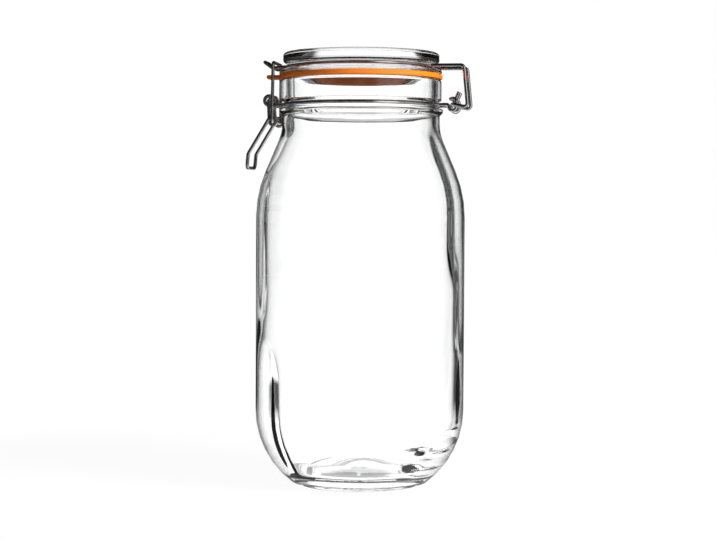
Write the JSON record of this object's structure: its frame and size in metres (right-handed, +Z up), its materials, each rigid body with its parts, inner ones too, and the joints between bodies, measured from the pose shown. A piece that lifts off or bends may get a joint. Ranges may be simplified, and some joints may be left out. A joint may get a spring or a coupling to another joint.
{
  "type": "clip-top jar",
  "caption": "Tall clear glass preserving jar with a glass lid, an orange rubber seal and a wire clip closure: hinge at one side, lever, bail and catch tongue at the other.",
  "frame": {"origin": "on the jar's axis, at the level of the ring that it stands on", "axes": "+Z up along the jar's axis, +X towards the lid's hinge, -X towards the clamp lever, -Y towards the side that faces the camera"},
  "size_m": [0.1325, 0.1238, 0.2553],
  "materials": {
    "clear_glass": "clear, smooth pressed glass",
    "orange_rubber": "satin moulded rubber",
    "steel_wire": "bright drawn stainless wire"
  },
  "bodies": {
    "jar": {"glass_jar": "clear_glass", "neck_wire": "steel_wire"},
    "lid": {"glass_lid": "clear_glass", "rubber_seal": "orange_rubber", "lid_wire": "steel_wire"},
    "lever": {"clamp_lever": "steel_wire"},
    "bail": {"wire_bail": "steel_wire"}
  },
  "joints": [
    {"name": "lid_hinge", "type": "hinge", "parent": "jar", "child": "lid", "pos_m": [0.0552, 0, 0.2244], "axis": [0, 1, 0], "range_deg": [0, 130]},
    {"name": "lever_pivot", "type": "hinge", "parent": "jar", "child": "lever", "pos_m": [-0.054, 0, 0.22715], "axis": [0, 1, 0], "range_deg": [0, 120]},
    {"name": "bail_pivot", "type": "hinge", "parent": "lever", "child": "bail", "pos_m": [-0.051, 0, 0.21505], "axis": [0, 1, 0], "range_deg": [-84, 0]}
  ],
  "couplings": [
    {"joint": "bail_pivot", "follows": "lever_pivot", "ratio": -0.7}
  ]
}
